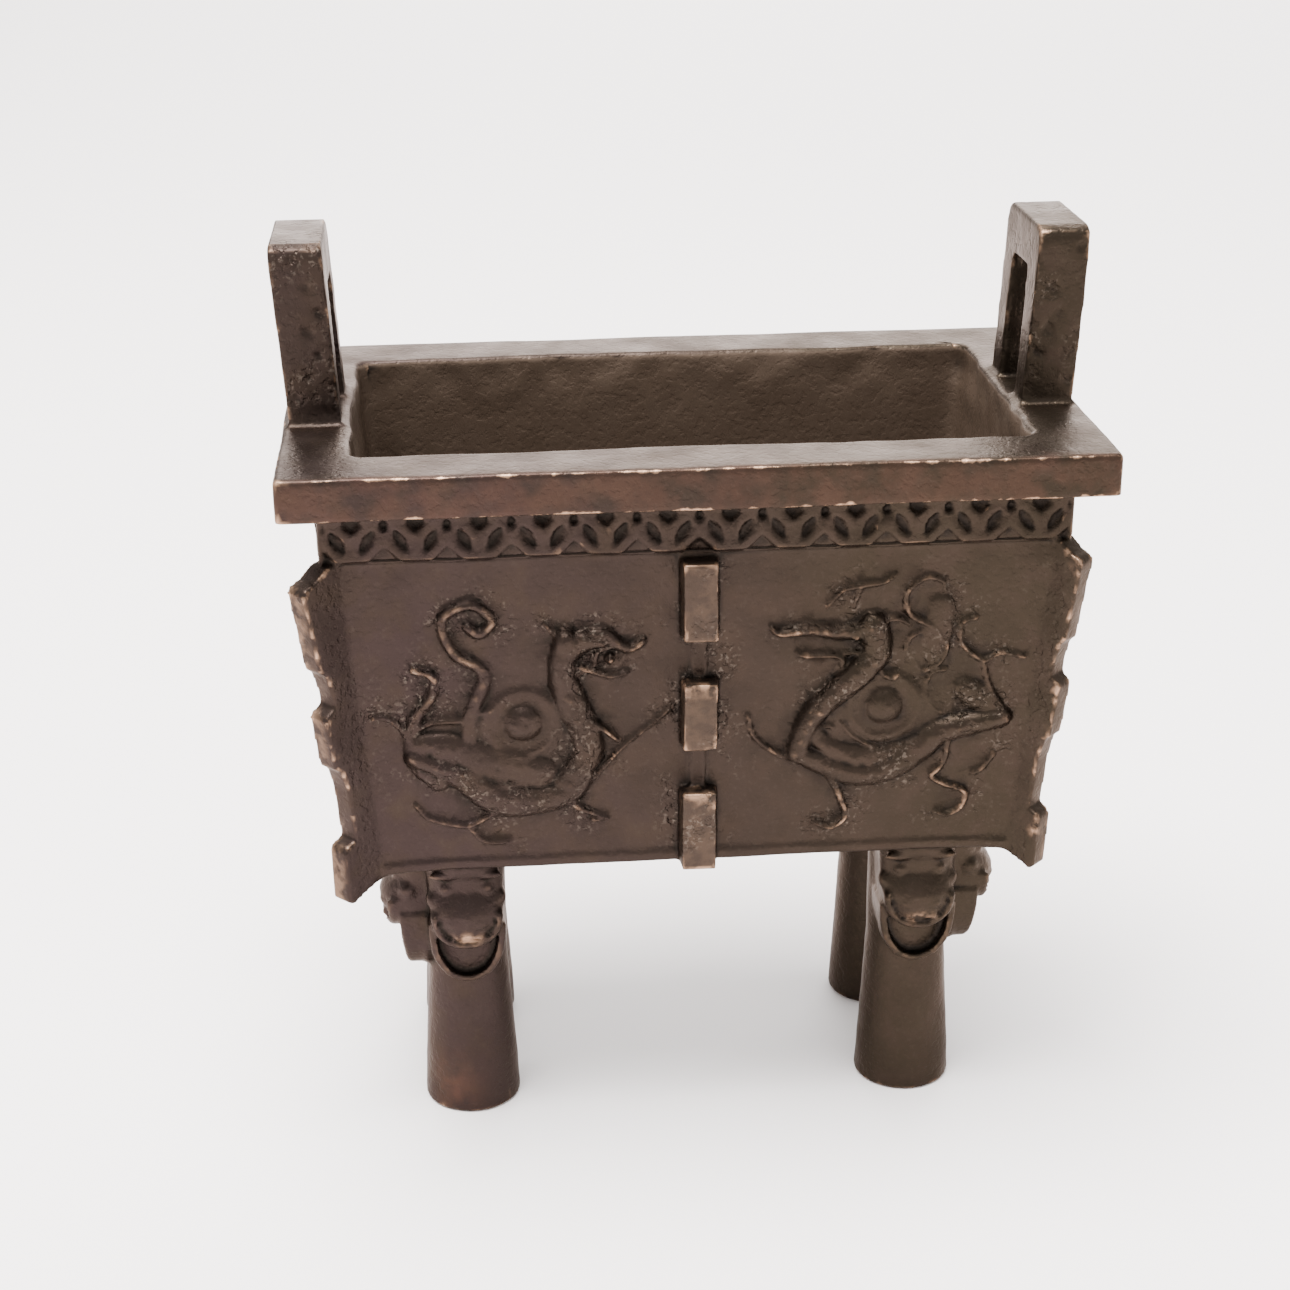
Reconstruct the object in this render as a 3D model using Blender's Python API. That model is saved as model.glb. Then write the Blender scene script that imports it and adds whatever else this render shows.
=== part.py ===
"""Bronze censer: a rectangular four-legged vessel, cast in one piece."""

import math

import bmesh
import bpy
from mathutils import Vector

# Heights above the table, in metres
LEG_HEIGHT = 0.0585
BODY_HEIGHT = 0.0645
FRIEZE_HEIGHT = 0.0103
RIM_THICKNESS = 0.0079
HANDLE_HEIGHT = 0.0338

# Vessel, as half lengths along x and half widths along y
BASE_HALF_X = 0.0615
BASE_HALF_Y = 0.0345
PANEL_TOP_HALF_X = 0.0668
PANEL_TOP_HALF_Y = 0.0388
FRIEZE_STEP = 0.0017
RIM_OVERHANG_X = 0.0067
RIM_OVERHANG_Y = 0.0058
MOUTH_WALL_X = 0.0043
MOUTH_WALL_Y = 0.0065
WALL = 0.0042
FLOOR_THICKNESS = 0.0040
CORNER_ROUND = 0.0012
MOUTH_ROUND = 0.0030
RIM_EDGE_ROUND = 0.0007

# Notched plates on the four corners: top and foot of each block, from the body's foot
CORNER_BLOCKS = ((0.0605, 0.0455), (0.0340, 0.0235), (0.0093, -0.0022))
CORNER_REACH = 0.0060
CORNER_WEB_REACH = 0.0038
CORNER_PLATE = 0.0042
NOTCH_SLOPE = 0.0022

# Upright blocks at the middle of each face
FACE_BLOCKS = ((0.0637, 0.0481), (0.0395, 0.0258), (0.0167, 0.0004))
FACE_BLOCK_WIDTH = 0.0068
FACE_BLOCK_REACH = 0.0046
FACE_WEB_WIDTH = 0.0026
FACE_WEB_REACH = 0.0014

# Legs
LEG_X = 0.0445
LEG_Y = 0.0174
LEG_FOOT_RADIUS = 0.0097
LEG_NECK_RADIUS = 0.0079
LEG_SIDES = 24

# Beast masks at the top of each leg
MASK_HALF_WIDTH = 0.0078
MASK_REACH = 0.0163
END_MASK_REACH = 0.0173
MASK_HEIGHT = 0.0195
# Jaw's reach as a share of its mask's
JAW_DROP = 0.0072
JAW_REACH = 0.72
JAW_BAND = 0.0020

# Handles
HANDLE_INSET = 0.0013
HANDLE_THICKNESS = 0.0097
HANDLE_WIDTH = 0.0263
HANDLE_BAR = 0.0090
HANDLE_POST = 0.0071
HANDLE_LEAN = 0.0020
HANDLE_ROUND = 0.0022

# Frieze of small pockets under the rim
FRIEZE_UNITS_X = 12
FRIEZE_UNITS_Y = 7
POCKET_DEPTH = 0.0010

# Raised figures on the long faces
FIGURE_LENGTH = 0.0560
FIGURE_HEIGHT = 0.0520
FIGURE_FOOT = 0.0051
FIGURE_GAP = 0.0045
FIGURE_RELIEF = 0.0015
SIDE_CURL_HEIGHT = 0.0400

# How deep one shape is sunk into another so that they join
SINK = 0.0008

BASE_Z = LEG_HEIGHT
PANEL_TOP_Z = BASE_Z + BODY_HEIGHT
RIM_FOOT_Z = PANEL_TOP_Z + FRIEZE_HEIGHT
RIM_TOP_Z = RIM_FOOT_Z + RIM_THICKNESS
FLOOR_Z = BASE_Z + FLOOR_THICKNESS
MOUTH_HALF_X = PANEL_TOP_HALF_X - MOUTH_WALL_X
MOUTH_HALF_Y = PANEL_TOP_HALF_Y - MOUTH_WALL_Y
FRIEZE_HALF_X = PANEL_TOP_HALF_X + FRIEZE_STEP
FRIEZE_HALF_Y = PANEL_TOP_HALF_Y + FRIEZE_STEP
RIM_HALF_X = FRIEZE_HALF_X + RIM_OVERHANG_X
RIM_HALF_Y = FRIEZE_HALF_Y + RIM_OVERHANG_Y


def bronze(name, colour, roughness):
    """A plain metal material for one sub-part."""
    material = bpy.data.materials.new(name)
    material.use_nodes = True
    shader = material.node_tree.nodes["Principled BSDF"]
    shader.inputs["Base Color"].default_value = (*colour, 1.0)
    shader.inputs["Roughness"].default_value = roughness
    shader.inputs["Metallic"].default_value = 0.6
    return material


def add_object(name, bm, material, helper=True):
    """Put a mesh in the scene; a helper is only joined to or cut from the vessel."""
    bmesh.ops.recalc_face_normals(bm, faces=bm.faces)
    mesh = bpy.data.meshes.new(name)
    bm.to_mesh(mesh)
    bm.free()
    mesh.materials.append(material)
    item = bpy.data.objects.new(name, mesh)
    bpy.context.scene.collection.objects.link(item)
    if helper:
        item.hide_render = True
        item.display_type = 'WIRE'
    return item


def loft(bm, rings):
    """Close a stack of equal loops into one body with a cap at each end."""
    loops = [[bm.verts.new(point) for point in ring] for ring in rings]
    count = len(loops[0])
    for lower, upper in zip(loops, loops[1:]):
        for i in range(count):
            j = (i + 1) % count
            bm.faces.new((lower[i], lower[j], upper[j], upper[i]))
    bm.faces.new(loops[0][::-1])
    bm.faces.new(loops[-1])


def prism(bm, near, far):
    """A body between two matching outlines."""
    loft(bm, (near, far))


def rounded_ring(half_x, half_y, z, radius):
    """A level rectangle with round corners of three segments."""
    ring = []
    for quarter in range(4):
        sign_x = (1, -1, -1, 1)[quarter]
        sign_y = (1, 1, -1, -1)[quarter]
        for step in range(4):
            turn = math.radians(90 * quarter + 30 * step)
            x = sign_x * (half_x - radius) + radius * math.cos(turn)
            y = sign_y * (half_y - radius) + radius * math.sin(turn)
            ring.append((x, y, z))
    return ring


def wall_half(height, base, top):
    """Half size of the tapered body at a height above its foot."""
    return base + (top - base) * height / BODY_HEIGHT


def wall_x(height):
    return wall_half(height, BASE_HALF_X, PANEL_TOP_HALF_X)


def wall_y(height):
    return wall_half(height, BASE_HALF_Y, PANEL_TOP_HALF_Y)


def build_vessel(bm):
    """Outer wall, frieze band and rim, then down inside to the floor."""
    edge = RIM_EDGE_ROUND
    loft(bm, (
        rounded_ring(BASE_HALF_X, BASE_HALF_Y, BASE_Z, CORNER_ROUND),
        rounded_ring(PANEL_TOP_HALF_X, PANEL_TOP_HALF_Y, PANEL_TOP_Z, CORNER_ROUND),
        rounded_ring(FRIEZE_HALF_X, FRIEZE_HALF_Y, PANEL_TOP_Z + edge, CORNER_ROUND),
        rounded_ring(FRIEZE_HALF_X, FRIEZE_HALF_Y, RIM_FOOT_Z, CORNER_ROUND),
        rounded_ring(RIM_HALF_X, RIM_HALF_Y, RIM_FOOT_Z, CORNER_ROUND),
        rounded_ring(RIM_HALF_X, RIM_HALF_Y, RIM_TOP_Z - edge, CORNER_ROUND),
        rounded_ring(RIM_HALF_X - edge, RIM_HALF_Y - edge, RIM_TOP_Z, CORNER_ROUND),
        rounded_ring(MOUTH_HALF_X, MOUTH_HALF_Y, RIM_TOP_Z, MOUTH_ROUND),
        rounded_ring(BASE_HALF_X - WALL, BASE_HALF_Y - WALL, FLOOR_Z, MOUTH_ROUND),
    ))


def corner_profile():
    """Notched outline of a corner plate as (reach, height) pairs, top to foot."""
    root = -WALL / 2
    first_top = CORNER_BLOCKS[0][0]
    outline = [(root, first_top + NOTCH_SLOPE)]
    for index, (top, foot) in enumerate(CORNER_BLOCKS):
        outline.append((CORNER_WEB_REACH, top + NOTCH_SLOPE))
        outline.append((CORNER_REACH, top))
        outline.append((CORNER_REACH, foot))
        if index < len(CORNER_BLOCKS) - 1:
            outline.append((CORNER_WEB_REACH, foot - NOTCH_SLOPE))
    tip = CORNER_BLOCKS[-1][1]
    outline.append((CORNER_REACH * 0.6, tip * 0.5))
    outline.append((CORNER_REACH * 0.2, tip * 0.15))
    outline.append((root, SINK))
    return outline


def build_corner_plates(bm):
    """Four diagonal plates, each one outline carried across its thickness."""
    half = CORNER_PLATE / 2 / math.sqrt(2)
    for sign_x in (-1, 1):
        for sign_y in (-1, 1):
            near = []
            far = []
            for reach, height in corner_profile():
                x = sign_x * (wall_x(height) - CORNER_ROUND / 2 + reach)
                y = sign_y * (wall_y(height) - CORNER_ROUND / 2 + reach)
                z = BASE_Z + height
                near.append((x + sign_x * half, y - sign_y * half, z))
                far.append((x - sign_x * half, y + sign_y * half, z))
            prism(bm, near, far)


def face_block(bm, on_side, sign, width, reach, foot, top):
    """An upright bar on a face, following the wall's slope."""
    rings = []
    for height in (foot, top):
        z = BASE_Z + height
        wall = wall_x(height) if on_side else wall_y(height)
        inner = sign * (wall - WALL / 2)
        outer = sign * (wall + reach)
        half = width / 2
        corners = ((-half, inner), (half, inner), (half, outer), (-half, outer))
        if on_side:
            rings.append([(out, along, z) for along, out in corners])
        else:
            rings.append([(along, out, z) for along, out in corners])
    loft(bm, rings)


def build_face_blocks(bm):
    """Three blocks on a low web at the middle of each of the four faces."""
    for on_side in (False, True):
        for sign in (-1, 1):
            for top, foot in FACE_BLOCKS:
                face_block(bm, on_side, sign, FACE_BLOCK_WIDTH, FACE_BLOCK_REACH, foot, top)
            web_top = FACE_BLOCKS[0][0] - SINK
            web_foot = FACE_BLOCKS[-1][1] + SINK
            face_block(bm, on_side, sign, FACE_WEB_WIDTH, FACE_WEB_REACH, web_foot, web_top)


def build_legs(bm):
    """Four legs, straight at the neck and spreading to the foot."""
    neck_z = LEG_HEIGHT - MASK_HEIGHT - JAW_DROP
    rows = (
        (0.0, LEG_FOOT_RADIUS),
        (neck_z, LEG_NECK_RADIUS),
        (BASE_Z + FLOOR_THICKNESS / 2, LEG_NECK_RADIUS),
    )
    for sign_x in (-1, 1):
        for sign_y in (-1, 1):
            rings = []
            for z, radius in rows:
                ring = []
                for i in range(LEG_SIDES):
                    turn = 2 * math.pi * i / LEG_SIDES
                    x = sign_x * LEG_X + radius * math.cos(turn)
                    y = sign_y * LEG_Y + radius * math.sin(turn)
                    ring.append((x, y, z))
                rings.append(ring)
            loft(bm, rings)


def mask_places(on_end):
    """For each leg, a function from (across, share of reach, drop) to a point."""
    places = []
    for sign_x in (-1, 1):
        for sign_y in (-1, 1):
            leg = Vector((sign_x * LEG_X, sign_y * LEG_Y, BASE_Z))
            facing = Vector((sign_x, 0.0, 0.0)) if on_end else Vector((0.0, sign_y, 0.0))
            side = Vector((-facing.y, facing.x, 0.0))
            far_out = END_MASK_REACH if on_end else MASK_REACH

            def place(across, out, drop, leg=leg, side=side, facing=facing, far_out=far_out):
                return leg + side * across + facing * far_out * out - Vector((0.0, 0.0, drop))

            places.append(place)
    return places


# Share of the mask's height, of its half width and of its reach, top to lip
SNOUT_ROWS = (
    (-0.08, 0.96, 0.88),
    (0.12, 1.00, 0.95),
    (0.30, 0.88, 0.82),
    (0.55, 0.84, 1.00),
    (0.76, 0.72, 0.98),
    (0.92, 0.50, 0.88),
    (1.00, 0.24, 0.76),
)


def build_snouts(bm, on_end):
    """Brow and snout of each mask, rounded in front and narrowing to the lip."""
    spread = math.radians(75)
    for place in mask_places(on_end):
        rings = []
        for share, width, reach in SNOUT_ROWS:
            half = MASK_HALF_WIDTH * width
            drop = MASK_HEIGHT * share
            ring = [place(-half, 0.0, drop)]
            for step in range(5):
                turn = spread * (step / 2 - 1)
                out = reach * (0.62 + 0.38 * math.cos(turn))
                ring.append(place(half * math.sin(turn) / math.sin(spread), out, drop))
            ring.append(place(half, 0.0, drop))
            rings.append(ring)
        loft(bm, rings)


def build_jaws(bm, on_end):
    """The jaw of each mask is a hanging band, open behind the lip."""
    jaw_top = MASK_HEIGHT * 0.55
    jaw_foot = MASK_HEIGHT + JAW_DROP
    outer_half = MASK_HALF_WIDTH * 0.94
    outline = []
    for half, foot, steps in (
        (outer_half, jaw_foot, range(7)),
        (outer_half - JAW_BAND, jaw_foot - JAW_BAND, range(6, -1, -1)),
    ):
        for step in steps:
            turn = math.pi * step / 6
            hang = abs(math.sin(turn)) ** 0.8
            outline.append((half * math.cos(turn), jaw_top + (foot - jaw_top) * hang))
    for place in mask_places(on_end):
        near = [place(across, 0.0, drop) for across, drop in outline]
        far = []
        for across, drop in outline:
            bend = 1.0 - 0.25 * (across / MASK_HALF_WIDTH) ** 2
            far.append(place(across, JAW_REACH * bend, drop))
        prism(bm, near, far)


def build_features(bm, on_end):
    """Faceted eyes, brows and cheeks; sizes are shares of the mask's half width."""
    half = MASK_HALF_WIDTH
    features = (
        (0.50, 0.80, 0.30, (0.24, 0.26, 0.24)),
        (0.60, 0.84, 0.09, (0.42, 0.28, 0.22)),
        (0.80, 0.70, 0.53, (0.28, 0.40, 0.27)),
    )
    for place in mask_places(on_end):
        for across, out, drop, size in features:
            for sign in (-1, 1):
                middle = place(sign * half * across, out, MASK_HEIGHT * drop)
                forward = (place(0.0, 1.0, 0.0) - place(0.0, 0.0, 0.0)).normalized()
                side = Vector((-forward.y, forward.x, 0.0))
                up = Vector((0.0, 0.0, 1.0))
                made = bmesh.ops.create_icosphere(bm, subdivisions=1, radius=half)
                for vert in made["verts"]:
                    x, y, z = vert.co
                    vert.co = middle + side * x * size[0] + forward * y * size[1] + up * z * size[2]


def build_handles(bm):
    """Two upright square arches on the rim's ends, leaning slightly outwards."""
    half = HANDLE_WIDTH / 2
    gap = half - HANDLE_POST
    top = HANDLE_HEIGHT
    under_bar = top - HANDLE_BAR
    soft = HANDLE_ROUND * 0.3
    outline = [
        (-half, -SINK),
        (-half, top - HANDLE_ROUND),
        (-half + soft, top - soft),
        (-half + HANDLE_ROUND, top),
        (half - HANDLE_ROUND, top),
        (half - soft, top - soft),
        (half, top - HANDLE_ROUND),
        (half, -SINK),
        (gap, -SINK),
        (gap, under_bar - HANDLE_ROUND / 2),
        (gap - HANDLE_ROUND / 2, under_bar),
        (-gap + HANDLE_ROUND / 2, under_bar),
        (-gap, under_bar - HANDLE_ROUND / 2),
        (-gap, -SINK),
    ]
    outer_x = RIM_HALF_X - HANDLE_INSET
    inner_x = outer_x - HANDLE_THICKNESS
    for sign in (-1, 1):
        near = []
        far = []
        for y, height in outline:
            lean = HANDLE_LEAN * height / top
            near.append((sign * (inner_x + lean), y, RIM_TOP_Z + height))
            far.append((sign * (outer_x + lean), y, RIM_TOP_Z + height))
        prism(bm, near, far)


def leaf_corners(centre, half_length, half_width, tilt):
    """Four corners of a leaf whose long axis leans by tilt from upright."""
    along = Vector((math.sin(tilt), math.cos(tilt))) * half_length
    across = Vector((math.cos(tilt), -math.sin(tilt))) * half_width
    middle = Vector(centre)
    return [middle + along, middle + across, middle - along, middle - across]


def frieze_unit(pitch):
    """One repeat: a diamond over two leaves, and a half triangle at each end."""
    high = FRIEZE_HEIGHT
    tilt = math.radians(32)
    leaf = (high * 0.21, high * 0.085)
    return (
        leaf_corners((0.0, high * 0.74), high * 0.18, pitch * 0.15, 0.0),
        leaf_corners((-pitch * 0.23, high * 0.43), *leaf, -tilt),
        leaf_corners((pitch * 0.23, high * 0.43), *leaf, tilt),
        [
            Vector((pitch * 0.28, high * 0.09)),
            Vector((pitch * 0.72, high * 0.09)),
            Vector((pitch * 0.50, high * 0.30)),
        ],
    )


def build_frieze_pockets(bm):
    """Shallow pockets along the band under the rim, on all four faces."""
    spans = (
        (False, FRIEZE_UNITS_X, FRIEZE_HALF_X, FRIEZE_HALF_Y),
        (True, FRIEZE_UNITS_Y, FRIEZE_HALF_Y, FRIEZE_HALF_X),
    )
    for on_side, units, half_run, face in spans:
        pitch = 2 * (half_run - CORNER_ROUND) / units
        for sign in (-1, 1):
            for unit in range(units):
                middle = (unit + 0.5 - units / 2) * pitch
                shapes = frieze_unit(pitch)
                if unit == units - 1:
                    shapes = shapes[:-1]
                for shape in shapes:
                    rings = []
                    for depth in (POCKET_DEPTH, -SINK):
                        ring = []
                        for corner in shape:
                            along = middle + corner.x
                            out = sign * (face - depth)
                            z = PANEL_TOP_Z + corner.y
                            ring.append((out, along, z) if on_side else (along, out, z))
                        rings.append(ring)
                    loft(bm, rings)


def smooth_path(points):
    """Points on a smooth curve through the given ones; a long span gets a middle."""
    path = []
    last = len(points) - 1
    for i in range(last):
        before = Vector(points[max(i - 1, 0)])
        start = Vector(points[i])
        end = Vector(points[i + 1])
        after = Vector(points[min(i + 2, last)])
        path.append(start)
        if (end - start).length > LONG_SPAN:
            path.append((9 * (start + end) - before - after) / 16)
    path.append(Vector(points[last]))
    return path


def raised_line(bm, place, points, widths):
    """A ridge along a path; widths give its base at the start, middle and end."""
    path = smooth_path(points)
    last = len(path) - 1
    rings = []
    for i, point in enumerate(path):
        share = i / last
        if share < 0.5:
            width = widths[0] + (widths[1] - widths[0]) * share * 2
        else:
            width = widths[1] + (widths[2] - widths[1]) * (share * 2 - 1)
        run = (path[min(i + 1, last)] - path[max(i - 1, 0)]).normalized()
        across = Vector((-run.y, run.x)) * width / 2
        crest = min(1.0, 0.45 + width * 0.14)
        rings.append([place(point + across, 0.0), place(point, crest), place(point - across, 0.0)])
    loft(bm, rings)


def boss(bm, place, centre, radius):
    """A round stud standing on the wall."""
    rings = []
    for share, lift in ((1.0, 0.0), (0.85, 0.75), (0.45, 1.15)):
        ring = []
        for i in range(12):
            turn = 2 * math.pi * i / 12
            offset = Vector((math.cos(turn), math.sin(turn))) * radius * share
            ring.append(place(Vector(centre) + offset, lift))
        rings.append(ring)
    loft(bm, rings)


# The figures are drawn on this grid, in steps along and up.
# A span longer than this many steps is bent at its middle.
GRID_LENGTH = 56
GRID_HEIGHT = 52
LONG_SPAN = 7.5

# Each line is its points, then its width at the start, the middle and the end.
DRAGON_LINES = (
    # Tall curl over the back
    (((18, 46), (20, 45), (22, 48), (19, 51), (14, 48), (16, 41), (20, 37), (19, 31), (18, 24)), (1, 2, 3)),
    # Short curl and the haunch
    (((8, 38), (11, 36), (10, 31), (6, 26), (8, 19), (14, 14)), (1, 2, 4)),
    # Tail at the far end
    (((0, 29), (3, 29), (6, 25), (8, 18)), (1, 2, 3)),
    # Neck and chest
    (((35, 42), (35, 36), (37, 29), (39, 22), (37, 14)), (3, 6, 5)),
    # Belly
    (((42, 19), (36, 12), (28, 11), (20, 14), (10, 20)), (3, 7, 4)),
    # Back
    (((8, 25), (14, 27), (20, 26)), (1, 2, 2)),
    # Horn
    (((32, 47), (34, 45), (36, 41)), (1, 2, 2)),
    # Upper jaw with its turned-up tip
    (((35, 42), (39, 45), (43, 44), (46, 41), (50, 43)), (3, 4, 1)),
    # Lower jaw
    (((38, 38), (43, 36), (47, 37)), (3, 2, 1)),
    # Chest tuft
    (((38, 29), (41, 26), (46, 22)), (3, 3, 2)),
    # Raised foreleg
    (((40, 15), (45, 21), (51, 26), (56, 30)), (2, 2, 1)),
    # Standing foreleg
    (((37, 13), (39, 9), (43, 5)), (3, 3, 2)),
    # Hind leg and foot
    (((7, 12), (13, 7), (19, 6), (26, 8)), (1, 3, 2)),
    (((17, 5), (20, 2), (25, 1)), (2, 3, 2)),
)
DRAGON_BOSS = (27, 26)

PHOENIX_LINES = (
    # Long upper beak
    (((4, 44), (7, 43), (13, 43), (19, 43), (24, 42)), (1, 2, 4)),
    # Lower beak
    (((9, 39), (14, 38), (18, 37), (24, 39)), (1, 2, 2)),
    # Head and neck
    (((24, 43), (26, 39), (21, 33), (15, 27), (11, 19)), (5, 5, 4)),
    # Crest and its fork
    (((16, 48), (19, 51), (24, 52), (29, 54)), (2, 3, 1)),
    (((24, 44), (28, 46), (32, 44)), (2, 2, 1)),
    # Mane
    (((37, 50), (36, 53), (31, 51), (32, 46), (37, 42), (38, 37), (34, 33)), (1, 2, 3)),
    # Hook behind the mane
    (((38, 35), (35, 32), (36, 27), (40, 25)), (1, 2, 2)),
    # Plume and its stem
    (((44, 45), (41, 42), (43, 37), (48, 37), (53, 37)), (1, 2, 1)),
    (((45, 36), (48, 31), (50, 24)), (1, 2, 2)),
    # Belly
    (((11, 19), (17, 15), (27, 14), (35, 19), (42, 23), (50, 24)), (3, 6, 3)),
    # Foreleg with its claw
    (((11, 19), (17, 13), (20, 8), (20, 3), (14, 3)), (3, 4, 2)),
    (((2, 27), (3, 21), (8, 18), (12, 17)), (1, 2, 2)),
    # Hind leg with its foot
    (((42, 20), (46, 15), (43, 9), (44, 5), (40, 4)), (4, 4, 2)),
)
PHOENIX_BOSS = (27, 28)

SIDE_LINES = (
    (((6, 34), (8, 38), (12, 36), (11, 30), (7, 24), (9, 16), (14, 12)), (1, 3, 3)),
    (((14, 12), (10, 6), (5, 8), (6, 12)), (3, 2, 1)),
)



def build_figures(bm):
    """The beasts face the middle of each long face; the ends carry plain scrolls."""
    step_along = FIGURE_LENGTH / GRID_LENGTH
    step_up = FIGURE_HEIGHT / GRID_HEIGHT
    for sign in (-1, 1):
        beasts = (
            (DRAGON_LINES, DRAGON_BOSS, -FIGURE_GAP - FIGURE_LENGTH),
            (PHOENIX_LINES, PHOENIX_BOSS, FIGURE_GAP),
        )
        for lines, stud, start in beasts:

            def place(point, lift, start=start, sign=sign):
                height = FIGURE_FOOT + point.y * step_up
                along = start + point.x * step_along
                out = wall_y(height) - SINK + lift * (FIGURE_RELIEF + SINK)
                return Vector((-sign * along, sign * out, BASE_Z + height))

            for points, widths in lines:
                raised_line(bm, place, points, widths)
            boss(bm, place, stud, 3.8)

        for turn in (-1, 1):

            def place_side(point, lift, turn=turn, sign=sign):
                height = FIGURE_FOOT + point.y * SIDE_CURL_HEIGHT / 40
                along = turn * (FACE_BLOCK_WIDTH + point.x * SIDE_CURL_HEIGHT / 40)
                out = wall_x(height) - SINK + lift * (FIGURE_RELIEF + SINK)
                return Vector((sign * out, along, BASE_Z + height))

            for points, widths in SIDE_LINES:
                raised_line(bm, place_side, points, widths)


# Shapes whose own pieces cross each other
OVERLAPPING = ("face_blocks", "figures")


def combine(target, tool, operation):
    """Join one shape to the vessel, or cut it away."""
    step = target.modifiers.new(tool.name, 'BOOLEAN')
    step.object = tool
    step.operation = operation
    step.solver = 'EXACT'
    step.use_self = tool.name in OVERLAPPING


def main():
    for item in list(bpy.data.objects):
        bpy.data.objects.remove(item, do_unlink=True)

    patina = bronze("brown_patina", (0.085, 0.066, 0.055), 0.42)
    rubbed = bronze("rubbed_copper", (0.20, 0.11, 0.075), 0.38)

    bm = bmesh.new()
    build_vessel(bm)
    censer = add_object("censer", bm, patina, helper=False)

    joined = (
        ("corner_plates", build_corner_plates, rubbed),
        ("face_blocks", build_face_blocks, rubbed),
        ("legs", build_legs, patina),
        ("handles", build_handles, patina),
        ("figures", build_figures, patina),
    )
    for name, build, material in joined:
        bm = bmesh.new()
        build(bm)
        combine(censer, add_object(name, bm, material), 'UNION')

    masks = (("snouts", build_snouts), ("jaws", build_jaws), ("features", build_features))
    for on_end in (False, True):
        prefix = "end_mask_" if on_end else "face_mask_"
        for name, build in masks:
            bm = bmesh.new()
            build(bm, on_end)
            combine(censer, add_object(prefix + name, bm, patina), 'UNION')

    bm = bmesh.new()
    build_frieze_pockets(bm)
    combine(censer, add_object("frieze_pockets", bm, patina), 'DIFFERENCE')


main()
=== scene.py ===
"""Studio view of a bronze censer, cast in one piece and dark with patina."""
import math

import bmesh
import bpy
import numpy as np
from mathutils import Matrix, Vector


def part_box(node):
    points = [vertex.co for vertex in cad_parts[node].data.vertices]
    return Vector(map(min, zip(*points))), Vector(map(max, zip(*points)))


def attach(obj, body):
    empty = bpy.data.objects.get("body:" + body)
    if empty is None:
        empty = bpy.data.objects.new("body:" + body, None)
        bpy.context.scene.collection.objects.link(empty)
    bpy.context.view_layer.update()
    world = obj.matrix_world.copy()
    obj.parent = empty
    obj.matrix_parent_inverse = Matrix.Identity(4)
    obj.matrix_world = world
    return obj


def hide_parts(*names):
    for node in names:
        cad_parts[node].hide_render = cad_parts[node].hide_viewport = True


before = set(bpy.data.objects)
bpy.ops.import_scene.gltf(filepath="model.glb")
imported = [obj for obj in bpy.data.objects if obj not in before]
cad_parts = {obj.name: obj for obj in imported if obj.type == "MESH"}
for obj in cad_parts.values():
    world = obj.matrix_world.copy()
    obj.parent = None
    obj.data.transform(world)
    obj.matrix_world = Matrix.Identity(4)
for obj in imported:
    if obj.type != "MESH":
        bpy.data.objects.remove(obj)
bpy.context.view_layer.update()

# Sizes in millimetres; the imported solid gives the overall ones
MM = 0.001
_, solid_high = (Vector(corner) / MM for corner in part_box("censer"))
RIM_HALF_X = 75.2
RIM_HALF_Y = solid_high.y
HANDLE_TOP = solid_high.z
HANDLE_OUT = solid_high.x
BODY_FOOT = 58.5
PANEL_TOP = 123.0
RIM_FOOT = 133.3
RIM_TOP = 141.2
BASE_X = 61.5
BASE_Y = 34.5
PANEL_X = 66.8
PANEL_Y = 38.8
FRIEZE_X = 68.5
FRIEZE_Y = 40.5
MOUTH_X = 62.5
MOUTH_Y = 32.3
FLOOR_TOP = 62.5
LEG_X = 44.5
LEG_Y = 17.4
LEG_FOOT = 9.7
LEG_NECK = 7.9
VOXEL = 0.5
FACE_LIMIT = 196000


# Curves and small helpers

def smooth_path(points, steps):
    """A smooth curve through the points, with this many steps a span."""
    anchors = [np.array(point, dtype=float) for point in points]
    anchors = [2 * anchors[0] - anchors[1]] + anchors + [2 * anchors[-1] - anchors[-2]]
    path = []
    for i in range(1, len(anchors) - 2):
        p0, p1, p2, p3 = anchors[i - 1:i + 3]
        for step in range(steps):
            t = step / steps
            path.append(0.5 * (2 * p1 + (p2 - p0) * t + (2 * p0 - 5 * p1 + 4 * p2 - p3) * t ** 2
                               + (3 * p1 - p0 - 3 * p2 + p3) * t ** 3))
    path.append(anchors[-2])
    return np.array(path)


def smoothstep(low, high, value):
    """0 before low, 1 past high, with a smooth rise between; high may be the smaller."""
    t = np.clip((value - low) / (high - low), 0.0, 1.0)
    return t * t * (3 - 2 * t)


def soft_noise(points, scale, seed):
    """Smooth noise about 0, from a few crossed waves; scale is the wave in mm."""
    rng = np.random.default_rng(seed)
    total = np.zeros(len(points))
    for _ in range(9):
        direction = rng.normal(size=3)
        direction *= 2 * math.pi / (scale * np.linalg.norm(direction) * rng.uniform(0.7, 1.4))
        total += np.sin(points @ direction + rng.uniform(0, 2 * math.pi))
    return total / 4.5


# Closed shells of the casting, in millimetres

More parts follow.
